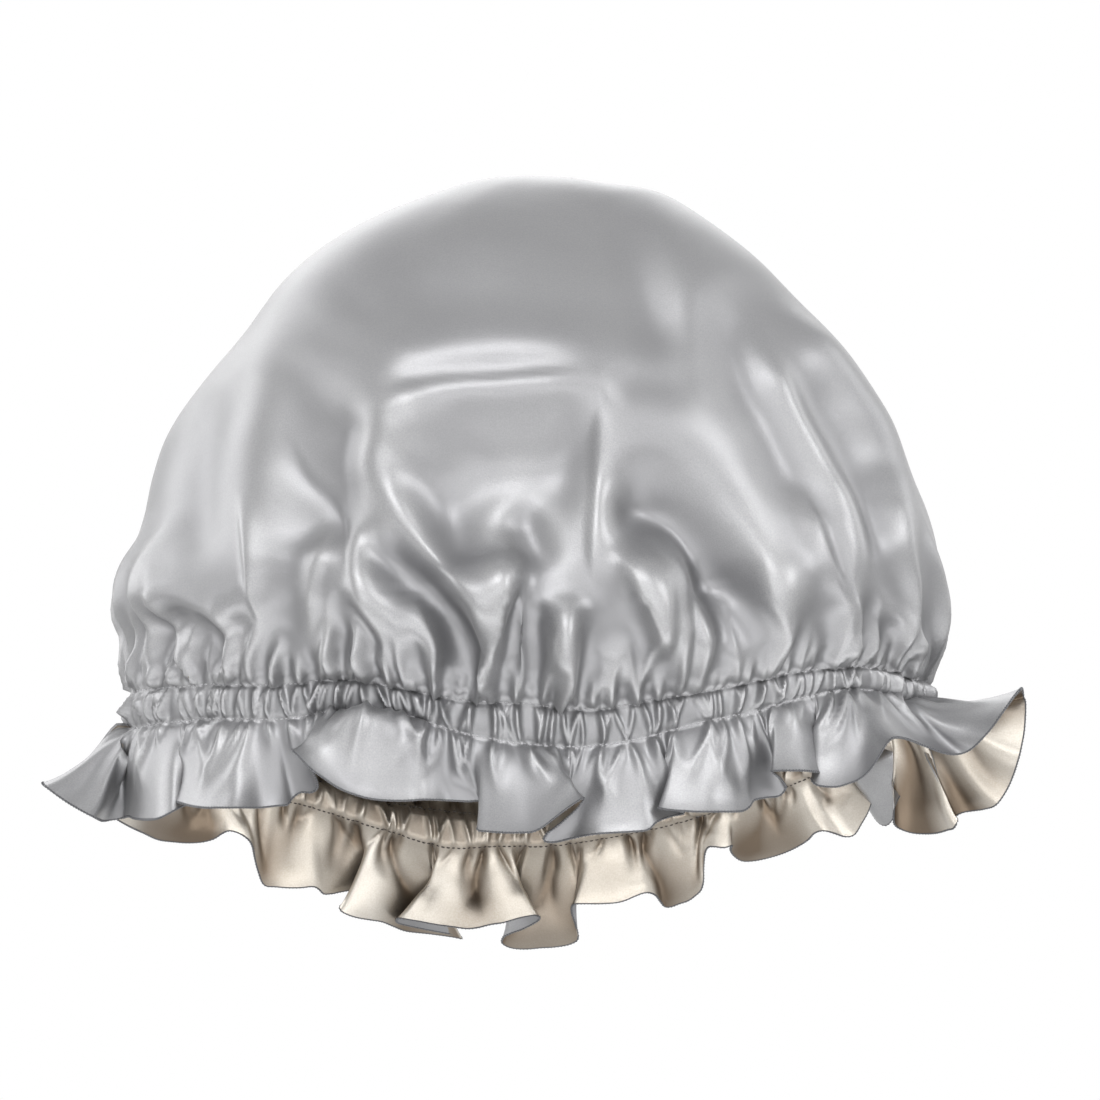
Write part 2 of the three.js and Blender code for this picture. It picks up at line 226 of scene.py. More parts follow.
NAPE_HEM = [
    (1023, 697, .99), (1025, 712, .98), (1024, 728, .97), (1021, 746, .95), (1017, 762, .93),
    (1012, 777, .90), (1006, 790, .86), (997, 803, .79), (985, 808, .72), (973, 810, .65), (962, 812, .56),
    (955, 816, .49), (957, 821, .47), (955, 826, .46), (948, 829, .46), (938, 832, .45), (926, 833, .43),
    (912, 832, .37), (902, 829, .29), (895, 825, .20), (893, 818, .13), (894, 810, .12), (897, 801, .16),
    (903, 791, .24), (909, 783, .32), (914, 773, .42), (917, 761, .52), (916, 748, .62), (908, 738, .70),
    (893, 744, .78), (878, 775, .86), (869, 806, .92), (876, 820, .95), (887, 825, .96), (899, 806, .93),
    (908, 778, .88), (909, 755, .84), (899, 739, .80), (888, 739, .77), (882, 758, .73), (875, 787, .66),
    (868, 810, .58), (861, 823, .51), (854, 834, .44), (844, 836, .38), (834, 833, .28), (824, 830, .21),
    (815, 832, .25), (808, 839, .33), (797, 846, .41), (784, 852, .46), (768, 857, .49), (753, 860, .50),
    (742, 860, .46), (734, 855, .36), (730, 849, .24), (731, 845, .12), (724, 847, .08), (715, 846, .09),
    (708, 847, .14), (704, 857, .22), (703, 870, .28), (703, 881, .33), (701, 889, .38), (695, 895, .43),
    (688, 900, .47), (679, 903, .50), (671, 906, .53), (665, 906, .54), (660, 901, .46), (654, 894, .33),
    (645, 892, .24), (636, 895, .22), (621, 901, .20), (600, 903, .18), (583, 903, .17), (574, 904, .19),
    (572, 912, .30), (576, 926, .42), (578, 938, .51), (571, 943, .56), (556, 946, .60), (540, 947, .62),
    (530, 948, .62), (518, 948, .62), (508, 946, .61), (502, 942, .58), (503, 937, .50), (511, 933, .42),
    (522, 929, .34), (532, 924, .26), (538, 920, .18), (539, 917, .12), (535, 915, .09), (526, 916, .08),
    (517, 918, .08), (503, 922, .09), (490, 924, .10), (478, 927, .10), (467, 928, .11), (452, 926, .13),
    (437, 924, .16), (415, 920, .22), (399, 918, .28), (397, 922, .37), (415, 927, .49), (440, 932, .57),
    (456, 935, .61), (463, 938, .62), (452, 936, .63), (430, 933, .62), (405, 930, .58), (392, 925, .49),
    (382, 921, .42), (370, 919, .36), (358, 917, .32), (348, 914, .30), (341, 910, .30), (341, 906, .35),
    (347, 904, .43), (360, 903, .50), (376, 902, .57), (384, 898, .60), (387, 892, .61), (385, 887, .60),
    (376, 885, .56), (358, 888, .48), (341, 891, .41), (331, 893, .37), (323, 893, .33), (319, 889, .29),
    (314, 886, .26), (300, 887, .26), (288, 887, .28), (276, 886, .33), (264, 884, .36), (258, 870, .30),
    (254, 855, .22), (252, 846, .15), (249, 840, .11), (240, 833, .10), (230, 830, .15), (222, 833, .24),
    (214, 838, .33), (203, 841, .42), (188, 842, .49), (174, 841, .51), (159, 839, .50), (143, 832, .43),
    (126, 824, .32), (110, 815, .36), (90, 806, .50), (70, 795, .65), (53, 786, .79)]


def hem_angle(px, out, back):
    """The angle round the oval from which a hem point hangs, found by halving an interval."""
    low, high = (TURN / 2, TURN) if not back else (TURN / 2, 0.0)
    for _ in range(HALVINGS):
        middle = (low + high) / 2
        x, y = oval(np.array(middle))
        n = oval_outward(np.array(middle))
        place = np.array([x, y, 0.0]) + n * RUFFLE_WIDTH * out
        if to_photo(place)[0] < px:
            low = middle
        else:
            high = middle
    return middle, place[1]


# between its two ends the brow's hem hangs this much closer to the casing than drawn
BROW_EASE = 0.30
LEFT_EASE_PX = (60, 150)
RIGHT_EASE_PX = (980, 860)
hem_controls = []
for back, points in ((False, BROW_HEM), (True, NAPE_HEM)):
    for px, py, out in points:
        if not back:
            out *= 1 - BROW_EASE * float(smooth(*LEFT_EASE_PX, px) * smooth(*RIGHT_EASE_PX, px))
        angle, depth = hem_angle(px, out, back)
        x, z = from_photo(px, py, depth)
        hem_controls.append((x, depth, z, angle + TURN if back else angle))
hem_controls = np.array(hem_controls)
print(len(hem_controls), "hem points")

# %% [markdown]
# ## Columns of cloth
# The cloth is one grid. A column is a thread that runs from the crown's top over the stitch
# rows to the hem, and the columns share the hem's length evenly. Where the hem doubles back
# the stitch rows don't, so the place of a column on the rows is the smoothed place of its hem.

# %% Share the hem between the columns
COLUMNS = 1400
ROW_SMOOTHING = 0.026
HEM_STEPS = 12
hem_path = closed_curve(hem_controls, HEM_STEPS)
drawn_steps = np.arange(0, len(hem_path), HEM_STEPS)
hem_path[:, 3] = np.interp(np.arange(len(hem_path)), drawn_steps, hem_controls[:, 3])
ahead = np.roll(hem_path, -1, axis=0)
ahead[-1, 3] += TURN
hem_run = np.concatenate([[0], np.cumsum(np.linalg.norm(ahead[:, :3] - hem_path[:, :3], axis=1))])
HEM_LENGTH = hem_run[-1]
closed_path = np.vstack([hem_path, ahead[-1:]])
even = np.arange(COLUMNS) / COLUMNS
hem = np.column_stack([np.interp(even * HEM_LENGTH, hem_run, closed_path[:, k]) for k in range(4)])
drift = hem[:, 3] - hem[0, 3] - even * TURN
nearest = np.minimum(np.arange(COLUMNS), COLUMNS - np.arange(COLUMNS)) / COLUMNS
kernel = np.exp(-0.5 * (nearest / ROW_SMOOTHING) ** 2)
drift = np.real(np.fft.ifft(np.fft.fft(drift) * np.fft.fft(kernel / kernel.sum())))
row_angle = hem[0, 3] + even * TURN + drift
row_steps = np.diff(np.append(row_angle, row_angle[0] + TURN))
print("hem is", round(HEM_LENGTH), "mm long; slowest column step",
      round(row_steps.min() / (TURN / COLUMNS), 2), "of the mean")

# %% [markdown]
# ## The crown
# The outline of the puffed cloth is read off the photograph on both sides. From brow to
# nape the cloth is narrower, and it swells out above the gathered row.

# %% Place the crown's threads between the upper row and the top
LEFT_OUTLINE_PX = [(128, 670), (132, 646), (130, 632), (120, 614), (118, 591), (123, 568), (136, 541),
                   (144, 518), (153, 478), (166, 439), (183, 409), (209, 376), (249, 332), (289, 283),
                   (332, 248), (382, 220), (432, 200), (483, 183)]
RIGHT_OUTLINE_PX = [(934, 660), (939, 642), (944, 604), (940, 552), (925, 508), (904, 470), (884, 418),
                    (853, 363), (801, 305), (749, 253), (698, 217), (653, 193), (600, 181)]
TOP_PX = (543, 177)
CROWN_DEPTH = 190.0
WIDE_RADIUS = 122.0
ROW_TUCK = 20.5
TUCK_SHARE = 0.34
top_x, top_z = from_photo(*TOP_PX, 0)


def outline(points, end_px, side):
    """Pairs of (share of the way up, distance from the middle) along one side of the crown."""
    end_x, end_z = from_photo(*end_px, 0)
    pairs = [(0.0, side * end_x)]
    for px, py in points:
        x, z = from_photo(px, py, 0)
        rise = (z - end_z) / (top_z - end_z)
        pairs.append((math.asin(rise) * 2 / math.pi, side * (x - top_x * rise)))
    return pairs + [(1.0, 0.0)]


left_outline = outline(LEFT_OUTLINE_PX, BROW_UPPER_PX[0], -1)
right_outline = outline(RIGHT_OUTLINE_PX, BROW_UPPER_PX[-1], 1)


def crown_points(angle, level):
    """The crown at each angle and each share of the way up from the upper row."""
    rise = np.sin(level * math.pi / 2)
    left = curve_value(left_outline, level)
    right = curve_value(right_outline, level)
    cos, sin = np.cos(angle), np.sin(angle)
    width = np.where(cos < 0, left, right)
    mean = (left + right) / 2 * (CROWN_DEPTH / 2 / WIDE_RADIUS)
    depth = mean - ROW_TUCK * np.exp(-level / TUCK_SHARE)
    rim = upper_row_at(angle)
    depth = np.where(level == 0, OPENING_DEPTH / 2, depth)
    return np.stack([cos * width + top_x * rise, sin * depth,
                     rim[..., 2] + rise * (top_z - rim[..., 2])], -1)


# rows of the grid, close together near the top and close above the stitches
TOP_ROWS = 14
TOP_SHARE = 0.75
CROWN_ROWS = 90
LOW_ROWS = 14
LOW_SHARE = 0.13
LOW_CROWDING = 0.85
EVEN_FROM = 0.6
CASING_ROWS = 9
RUFFLE_ROWS = 17
levels = np.concatenate([
    np.linspace(1, TOP_SHARE, TOP_ROWS + 1)[1:],
    np.linspace(TOP_SHARE, LOW_SHARE, CROWN_ROWS - TOP_ROWS + 1)[1:],
    LOW_SHARE * (1 - np.linspace(0, 1, LOW_ROWS + 1)[1:] ** LOW_CROWDING)])
spread = smooth(0, EVEN_FROM, levels)[:, None]
even_angle = row_angle[0] + even * TURN + np.mean(row_angle - row_angle[0] - even * TURN)
crown_angle = row_angle * (1 - spread) + even_angle * spread
crown = crown_points(crown_angle, np.repeat(levels[:, None], COLUMNS, 1))
print("crown grid", crown.shape, "top at", round(top_z, 1), "mm")

# %% [markdown]
# ## The casing and the ruffle
# Between the two rows the cloth lies over the elastic. Below the lower row each column
# bends out of the casing and runs to its place on the hem.

# %% Join the rows and the hem
CASING_BULGE = 1.0
LEAVING_SHARE = 0.36
LEAVING_OUT = 0.55
LEAVING_DOWN = 0.1
ARRIVING_SHARE = 0.30
ARRIVING_DOWN = 0.25
# the flap that is folded up at the brow's left, from end to end
FLAP_PX = ((292, 749), (433, 799))
FLAP_OUT = 9.0
FLAP_UP = 14.0
upper_row = upper_row_at(row_angle)
lower_row = lower_row_at(row_angle)
outward = oval_outward(row_angle)
down = np.array([0.0, 0.0, -1.0])


def shares(rows):
    """The share of the way at each of some rows of the grid, the last of which is 1."""
    return (np.arange(1, rows + 1) / rows)[:, None, None]


share = shares(CASING_ROWS)
casing_flat = upper_row + (lower_row - upper_row) * share
belly = CASING_BULGE * np.sin(share * math.pi).clip(0, 1) ** 0.6
casing = casing_flat + outward * belly
fall = hem[:, :3] - lower_row
fall_length = np.linalg.norm(fall, axis=1, keepdims=True)
leaving = unit(unit(fall) + LEAVING_OUT * outward + LEAVING_DOWN * down)
arriving = unit(unit(fall) - ARRIVING_DOWN * down)
share = shares(RUFFLE_ROWS)
flap_start, flap_end = (np.argmin(np.hypot(*(np.array(to_photo(hem[:, :3])).T - place).T))
                        for place in FLAP_PX)
flap_share = (np.arange(COLUMNS) - flap_start) / (flap_end - flap_start)
over_flap = smooth(0, 0.35, flap_share) * smooth(1, 0.55, flap_share)
first_pull = (lower_row + leaving * fall_length * LEAVING_SHARE
              + over_flap[:, None] * (outward * FLAP_OUT - down * FLAP_UP))
last_pull = hem[:, :3] - arriving * fall_length * ARRIVING_SHARE
ruffle = ((1 - share) ** 3 * lower_row + 3 * (1 - share) ** 2 * share * first_pull
          + 3 * (1 - share) * share ** 2 * last_pull + share ** 3 * hem[:, :3])
cloth = np.concatenate([crown, casing, ruffle])
ROW_A = CROWN_ROWS + LOW_ROWS - 1
ROW_B = ROW_A + CASING_ROWS
print("slant of the ruffle", np.round(np.percentile(fall_length, [0, 50, 100]), 1), "mm")

# %% [markdown]
# ## Folds of the crown
# Each main fold is a line drawn over the photograph from its upper or left end. It lifts or
# sinks the cloth along the line, and falls off by its own width on each side: first the
# side on the picture's left (or below a level line), then the other. Lengths are in
# millimetres and places in pixels. The nape has the brow's folds, as if seen in a mirror
# and a little flatter.

# %% Lift and sink the cloth along drawn lines
FOLDS = [
    # the edge of the smooth dome, and the light band down from it
    (2.0, 12, 24, [(560, 186), (480, 205), (400, 234), (345, 262), (305, 300), (284, 345), (274, 420)]),
    (2.0, 10, 10, [(284, 330), (272, 420), (268, 500), (272, 560), (276, 620)]),
    (-1.6, 7, 7, [(226, 380), (210, 440), (205, 500), (212, 570)]),
    (1.2, 1.5, 4, [(252, 495), (258, 540), (264, 590), (273, 627), (262, 655), (258, 690)]),
    # hollows and lobes above the casing on the left
    (3.0, 3.5, 9, [(140, 590), (180, 600), (215, 604), (245, 622), (266, 628)]),
    (-3.4, 5, 5, [(178, 616), (182, 650), (180, 690)]),
    (-3.2, 5, 6, [(232, 640), (222, 690)]),
    (2.6, 3, 3, [(214, 612), (200, 642), (188, 690)]),
    (2.4, 3, 3, [(262, 636), (246, 654), (238, 692)]),
    (-1.6, 2.5, 3, [(146, 604), (150, 640), (148, 690)]),
    # the dark front, and the crease that runs down from it
    (-4.6, 9, 24, [(354, 560), (346, 520), (344, 470), (350, 430), (366, 404)]),
    (-0.7, 3, 1.5, [(293, 441), (310, 478), (337, 504), (349, 532), (358, 567), (378, 604)]),
    (1.5, 4, 3.5, [(340, 515), (331, 548), (322, 590), (318, 660)]),
    # the two long folds that run down to the brow's middle
    (3.6, 9, 5, [(356, 560), (390, 600), (426, 636), (454, 672)]),
    (-3.8, 7, 7, [(368, 530), (400, 574), (436, 606), (462, 634), (480, 680)]),
    (2.4, 5, 5, [(392, 470), (406, 506), (430, 548), (456, 582), (474, 611), (490, 655), (498, 694)]),
    # small lobes under the corner
    (3.0, 4, 4, [(350, 645), (350, 692)]),
    (-2.0, 2, 2, [(364, 652), (365, 694)]),
    (2.6, 5, 4, [(384, 650), (386, 694)]),
    # the pinched lobe right of the folds
    (4.4, 10, 5, [(446, 600), (470, 580), (500, 580), (524, 596)]),
    (1.4, 1.6, 6, [(528, 584), (524, 620), (523, 660), (526, 702)]),
    (-1.6, 3, 3, [(536, 600), (534, 650), (538, 702)]),
    (4.2, 7, 7, [(566, 590), (562, 640), (556, 702)]),
    # level folds in the middle
    (3.6, 20, 13, [(640, 410), (604, 388), (560, 372), (500, 370), (440, 378), (398, 398), (374, 430),
                   (366, 470), (372, 520)]),
    (-1.6, 4.5, 3.6, [(600, 380), (560, 381), (500, 384), (452, 390), (412, 400), (384, 420)]),
    (1.2, 6, 9, [(630, 400), (560, 397), (489, 402), (440, 409), (404, 424), (386, 450), (380, 490)]),
    (1.0, 9, 11, [(398, 540), (384, 490), (380, 450)]),
    (-6.4, 16, 19, [(396, 530), (440, 508), (490, 490), (545, 466), (620, 456)]),
    (-3.4, 8, 7, [(512, 508), (528, 526), (536, 548), (536, 580)]),
    # the ridge from the top, the light panel and its right edge
    (-2.6, 13, 9, [(570, 176), (604, 208), (628, 252), (640, 294), (650, 340), (664, 390)]),
    (1.6, 9, 16, [(600, 176), (638, 208), (662, 252), (678, 304), (706, 354), (744, 404)]),
    (-3.8, 13, 9, [(690, 300), (736, 366), (766, 416), (792, 465), (806, 505), (816, 540)]),
    (0.9, 1.5, 5, [(600, 400), (597, 450), (596, 492), (590, 560), (592, 598)]),
    (-1.1, 7, 7, [(602, 392), (640, 388), (690, 396)]),
    # the hollow arch and the lobes inside it
    (-8.0, 10, 13, [(590, 508), (625, 502), (658, 512), (690, 538), (710, 574), (720, 614), (710, 652)]),
    (4.4, 7, 7, [(622, 540), (640, 590), (664, 640), (668, 700)]),
    (0.9, 1.8, 1.8, [(646, 536), (668, 570), (674, 610), (676, 700)]),
    (0.9, 1.8, 1.8, [(616, 560), (630, 592), (656, 636), (660, 700)]),
    (3.4, 5, 5, [(704, 600), (699, 640), (696, 700)]),
    (3.0, 4, 6, [(600, 638), (603, 700)]),
    (3.4, 8, 9, [(776, 545), (781, 590), (772, 630), (750, 662), (728, 690)]),
    # the narrow folds on the right
    (1.5, 5, 2, [(794, 480), (806, 530), (822, 580), (834, 612), (838, 672)]),
    (3.4, 5.5, 5, [(735, 330), (772, 392), (815, 470), (840, 512), (853, 560), (860, 606)]),
    (-3.0, 9, 9, [(790, 365), (830, 420), (855, 470), (862, 540), (866, 590)]),
    (3.2, 6, 6, [(765, 300), (840, 385), (872, 425), (888, 480), (888, 540), (876, 594)]),
    (2.0, 3, 3, [(877, 598), (893, 630), (914, 676)]),
    (-1.8, 3, 3, [(862, 606), (880, 645), (886, 674)]),
    (1.4, 2, 2, [(867, 622), (876, 644), (894, 672)]),
    (1.4, 2, 2, [(806, 634), (816, 650), (814, 672)]),
    (1.4, 2, 2, [(826, 646), (834, 672)]),
]
# a line is taken in short stretches, and both ends fade over a share of it; one that ends
# below this height runs into the stitches and doesn't fade there
STRETCH = 2.5
SPREAD = 4.0
FADE = 0.25
ROWS_START_PX = 660
REACH = 2.6
# heights change from the brow's share to the nape's, and towards the stitches and the top
BROW_SHARE = 1.35
NAPE_SHARE = 0.9
BLEND_HALF = 30.0
ROW_FADE = (-0.02, 0.12)
ROW_GROWTH = 0.7
GROWTH_SHARE = 0.1
TOP_EASE = 0.3
TOP_EASE_SHARES = (0.62, 0.92)


def stroke(line, left_width, right_width, fade_out, px, py):
    """How much of a fold's height each place gets: every short stretch of the drawn line
    gives its share, which falls off along the line and, by its own width, on each side."""
    places = np.array(line, float)
    run = np.concatenate([[0], np.cumsum(np.linalg.norm(np.diff(places, axis=0), axis=1))])
    count = max(int(run[-1] * PIXEL / STRETCH), 3)
    share = (np.arange(count) + 0.5) / count
    x, y = (curve_value(np.column_stack([run / run[-1], places[:, k]]), share) for k in (0, 1))
    ahead = unit(np.column_stack([np.gradient(x), np.gradient(y)]))
    weight = smooth(0, FADE, share) * (smooth(1, 1 - FADE, share) if fade_out else 1)
    weight *= run[-1] * PIXEL / count / (SPREAD * math.pi ** 0.5)
    given = np.zeros(px.shape)
    for k in range(count):
        across = (ahead[k, 0] * (py - y[k]) - ahead[k, 1] * (px - x[k])) * PIXEL
        along = (ahead[k, 0] * (px - x[k]) + ahead[k, 1] * (py - y[k])) * PIXEL
        width = np.where(across > 0, left_width, right_width)
        given += weight[k] * np.exp(-(across / width) ** 2 - (along / SPREAD) ** 2)
    return given


def normals(points):
    """The cloth's outward direction at every grid point; columns close on themselves."""
    across = np.roll(points, -1, axis=1) - np.roll(points, 1, axis=1)
    along = np.gradient(points, axis=0)
    return unit(np.cross(along, across))


facing = normals(cloth)
zone = slice(0, ROW_A + 1)
px, _ = to_photo(cloth[zone] * np.array([1, 0, 1]))
rise = np.sin(levels * math.pi / 2)[:, None]
brow_py = curve_value(BROW_UPPER_PX, px)
py = brow_py + rise * (TOP_PX[1] - brow_py)
lift = np.zeros(px.shape)
for height, left_width, right_width, line in FOLDS:
    reach = REACH * max(left_width, right_width, SPREAD) / PIXEL
    low, high = np.min(line, axis=0) - reach, np.max(line, axis=0) + reach
    near = (px > low[0]) & (px < high[0]) & (py > low[1]) & (py < high[1])
    lift[near] += height * stroke(line, left_width, right_width, line[-1][1] < ROWS_START_PX,
                                  px[near], py[near])
lift *= BROW_SHARE + (NAPE_SHARE - BROW_SHARE) * smooth(-BLEND_HALF, BLEND_HALF, cloth[zone][..., 1])
lift *= (smooth(*ROW_FADE, levels) * (1 + ROW_GROWTH * np.exp(-levels / GROWTH_SHARE))
         * (1 - TOP_EASE * smooth(*TOP_EASE_SHARES, levels)))[:, None]
cloth[zone] += facing[zone] * lift[..., None]
print("folds lift the cloth from", round(lift.min(), 1), "to", round(lift.max(), 1), "mm")

# %% [markdown]
# ## Gathers
# The elastic draws the cloth up into nearly two hundred small pleats. Each stands out as a
# narrow ridge, pinched where the stitch rows hold it. Most die out soon, some run far up.

# %% Raise the pleats
PLEATS = 190
CASING_WIDTH = 12.0
ROW_PINCH = 0.35
PINCH_REACH = 4.5
SWAY = 0.9
SWAY_LENGTH = 5.0
SINK_FROM = 8.0
rng = np.random.default_rng(7)
pleat_place = (np.arange(PLEATS) + rng.uniform(-0.42, 0.42, PLEATS)) / PLEATS
pleat_height = rng.uniform(1.1, 3.2, PLEATS)
pleat_width = rng.uniform(0.6, 1.05, PLEATS)
pleat_slant = rng.uniform(-0.32, 0.32, PLEATS)
pleat_phase = rng.uniform(0, TURN, PLEATS)
pleat_up = rng.uniform(6, 18, PLEATS)
pleat_up[::3] = rng.uniform(18, 36, len(pleat_up[::3]))
pleat_up[::7] = rng.uniform(38, 68, len(pleat_up[::7]))
pleat_down = rng.uniform(7, 32, PLEATS)
row_place = np.interp((row_angle - row_angle[0]) % TURN, fine_angle, fine_length) / GIRTH


def raised(away):
    """The pleats' height along every column, away millimetres above the upper row, or below."""
    height = max(away, 0.0)
    fallen = max(-away, 0.0)
    below = max(fallen - CASING_WIDTH, 0.0)
    sway = pleat_slant * away + SWAY * np.sin(away / SWAY_LENGTH + pleat_phase)
    gap = (row_place[None, :] - (pleat_place + sway / GIRTH)[:, None] + 0.5) % 1 - 0.5
    gap = np.abs(gap) * GIRTH
    left = np.clip(1 - height / pleat_up - below / pleat_down, 0, 1) ** 1.2
    width = pleat_width + 0.12 * height + 0.05 * below
    grown = 1 + 0.14 * height + 0.035 * below
    to_row = min(abs(away), abs(away + CASING_WIDTH))
    held = ROW_PINCH + (1 - ROW_PINCH) * smooth(0, PINCH_REACH, to_row)
    ridges = (pleat_height * left * grown)[:, None] * np.exp(-(gap / width[:, None]) ** 1.5)
    return held * ridges.sum(0)


facing = normals(cloth)
crown_step = np.linalg.norm(np.diff(cloth[:ROW_A + 1], axis=0), axis=2).mean(1)
above = np.append(np.cumsum(crown_step[::-1])[::-1], 0)
below = np.concatenate([shares(CASING_ROWS) * CASING_WIDTH,
                        CASING_WIDTH + shares(RUFFLE_ROWS) * RUFFLE_WIDTH]).ravel()
pleats = np.array([raised(away) for away in np.append(above, -below)])
sink = np.append(smooth(0, SINK_FROM, above), 0 * below) * pleats.mean(1)
pleats -= sink[:, None]
cloth = cloth + facing * pleats[..., None]
print("pleats stand out by up to", round(float(pleats.max()), 2), "mm")

# %% [markdown]
# The lining has the same pleats. Over the elastic they stand out the other way, towards the
# head, and there is more room where the elastic's two ends lie one on the other.

# %% Lay the lining inside the silver cloth
ELASTIC_THICKNESS = 0.9
LAP_ANGLE = 0.19 * TURN
LAP_RADIUS = OPENING_WIDTH / 2
# the room for the lap grows between these distances from its middle
LAP_ROOM = (44.0, 18.0)
LAP_SPARE = 0.5
CROWN_GAP = 1.0
LAYER_GAP = 0.7
HEM_GAP = 0.3
SPARE_ROOM = 0.35
SHARED_SWELL = 0.8
over_elastic = slice(ROW_A + 1, ROW_B)
lap_gap = np.abs((row_angle - LAP_ANGLE + math.pi) % TURN - math.pi) * LAP_RADIUS
lap_room = (ELASTIC_THICKNESS + LAP_SPARE) * smooth(*LAP_ROOM, lap_gap)
layer_gap = np.concatenate([np.full(CROWN_ROWS, CROWN_GAP),
                            np.linspace(CROWN_GAP, LAYER_GAP, LOW_ROWS),
                            np.full(CASING_ROWS, LAYER_GAP),
                            np.linspace(LAYER_GAP, HEM_GAP, RUFFLE_ROWS)])
lining = cloth - facing * layer_gap[:, None, None]
room = (ELASTIC_THICKNESS + SPARE_ROOM + lap_room + SHARED_SWELL * belly[:-1, :, 0]
        + SHARED_SWELL * pleats[over_elastic])
lining[over_elastic] = casing_flat[:-1] - outward * room[..., None]
print("lining keeps", round(float(room.min()), 2), "mm of room for the elastic")

# %% [markdown]
# ## Meshes
# High on the crown a quarter of the columns is enough, and above the lowest rows half, so
# every other column ends where a row has twice as many as the row above it.

# %% Turn the grid into meshes
CUT_DIAMETER = 500.0
QUARTER_ROWS = 56
# painted shade in the folds: depth is measured from the mean over this many columns, and the shade is full
# this many millimetres down
FOLD_WINDOW = 41
DEEPEST_FOLD = 3.0


def painted_fold_shade(grid, inward):
    """The painted shade at each point, by how deep it lies in a fold as its own side sees it:
    0 on a ridge, 1 deep down.
    """
    steps = range(-(FOLD_WINDOW // 2), FOLD_WINDOW // 2 + 1)
    middle_line = sum(np.roll(grid, step, axis=1) for step in steps) / FOLD_WINDOW
    out = ((grid - middle_line) * normals(grid)).sum(-1) * (-1 if inward else 1)
    return np.clip(0.5 - out / DEEPEST_FOLD, 0, 1)


def store(mesh, name, kind, values):
    """Gives every point of a mesh a value that node trees can read."""
    data = mesh.attributes.new(name, kind, "POINT").data
    data.foreach_set("value" if kind == "FLOAT" else "vector", np.asarray(values, np.float32).ravel())


def cloth_mesh(name, grid, top, inward):
    """A mesh of the grid closed at the top, with fewer columns high up. Each point keeps
    its painted shade from its depth in the folds, and its place on the flat circle that was cut."""
    run = np.linalg.norm(np.diff(grid, axis=0), axis=2).mean(1)
    run = np.cumsum(np.concatenate([[np.linalg.norm(grid[0] - top, axis=1).mean()], run]))
    print(name, "runs", round(float(run[-1]), 1), "mm from its middle to the hem on average")
    run = run / run[-1] * CUT_DIAMETER / 2
    circle = np.stack([np.cos(even * TURN), np.sin(even * TURN), 0 * even], -1)
    skips = [4 if k < QUARTER_ROWS else 2 if k < CROWN_ROWS else 1 for k in range(len(grid))]

    def thinned(first, rows):
        return np.concatenate([[first]] + [row[::skip] for row, skip in zip(rows, skips)])

    counts = [COLUMNS // skip for skip in skips]
    starts = [1 + sum(counts[:k]) for k in range(len(grid))]
    faces = [(0, 1 + i, 1 + (i + 1) % counts[0]) for i in range(counts[0])]
    for a, b, n, m in zip(starts, starts[1:], counts, counts[1:]):
        for i in range(n):
            j = (i + 1) % n
            if n == m:
                faces.append((a + i, b + i, b + j, a + j))
            else:
                low, high, far = b + 2 * i, b + 2 * i + 1, b + (2 * i + 2) % m
                faces += [(a + i, low, high), (a + i, high, a + j), (a + j, high, far)]
    if inward:
        faces = [f[::-1] for f in faces]
    mesh = bpy.data.meshes.new(name)
    mesh.from_pydata((thinned(top, grid) * MM).tolist(), [], faces)
    mesh.polygons.foreach_set("use_smooth", [True] * len(mesh.polygons))
    store(mesh, "flat_cloth", "FLOAT_VECTOR", thinned(0 * top, circle * run[:, None, None]) * MM)
    # the share of painted shade deep in the folds, which the satins read
    store(mesh, "painted_fold_shade", "FLOAT", thinned(0.5, painted_fold_shade(grid, inward)))
    return placed(name, mesh)


top_point = cloth[0].mean(0)
top_point[2] = top_z
silver_cloth = cloth_mesh("silver_satin_cloth", cloth, top_point, False)
lining_cloth = cloth_mesh("champagne_lining_cloth", lining, top_point + down, True)
print("silver cloth", len(silver_cloth.data.polygons), "faces")

# %% [markdown]
# ## The elastic
# A braided band lies in the casing. Its ends lie one over the other at the nape and are
# sewn together to and fro.

# %% Run the band once round and lap its ends
def mesh_object(name, verts, faces, smooth_faces=True):
    """A mesh from points in millimetres."""
    mesh = bpy.data.meshes.new(name)
    mesh.from_pydata((np.asarray(verts, float) * MM).tolist(), [], faces)
    mesh.polygons.foreach_set("use_smooth", [smooth_faces] * len(mesh.polygons))
    return placed(name, mesh)


def swept(name, rings, closed):
    """A skin over rings of points, one after the other, closed on itself or with flat ends."""
    rings = np.asarray(rings, float)
    count, corners = rings.shape[:2]
    faces = []
    for k in range(count if closed else count - 1):
        here, there = k * corners, (k + 1) % count * corners
        for c in range(corners):
            d = (c + 1) % corners
            faces.append((here + c, here + d, there + d, there + c))
    if not closed:
        faces += [tuple(range(corners))[::-1], tuple((count - 1) * corners + c for c in range(corners))]
    return mesh_object(name, rings.reshape(-1, 3), faces)


def casing_at(angle):
    """The casing's middle, its height, its way up and its way out at each angle."""
    upper, lower = upper_row_at(angle), lower_row_at(angle)
    height = np.linalg.norm(upper - lower, axis=1, keepdims=True)
    return (upper + lower) / 2, height, unit(upper - lower), oval_outward(angle)


ELASTIC_WIDTH = 10.0
ROW_CLEARANCE = 3.4
BAND_STEPS = 900
BAND_GAP = 0.05
LAP_GAP = 0.15
LAP_LENGTH = 24.0
lap_turn = LAP_LENGTH / LAP_RADIUS
band_angle = np.linspace(LAP_ANGLE - lap_turn / 2, LAP_ANGLE + TURN + lap_turn / 2, BAND_STEPS)
band_middle, casing_height, band_across, band_out = casing_at(band_angle)
band_width = np.minimum(casing_height - ROW_CLEARANCE, ELASTIC_WIDTH)
run_left = (band_angle[-1] - band_angle) * LAP_RADIUS
inner_lap = (ELASTIC_THICKNESS + LAP_GAP) * smooth(LAP_LENGTH + 20, LAP_LENGTH + 2, run_left)
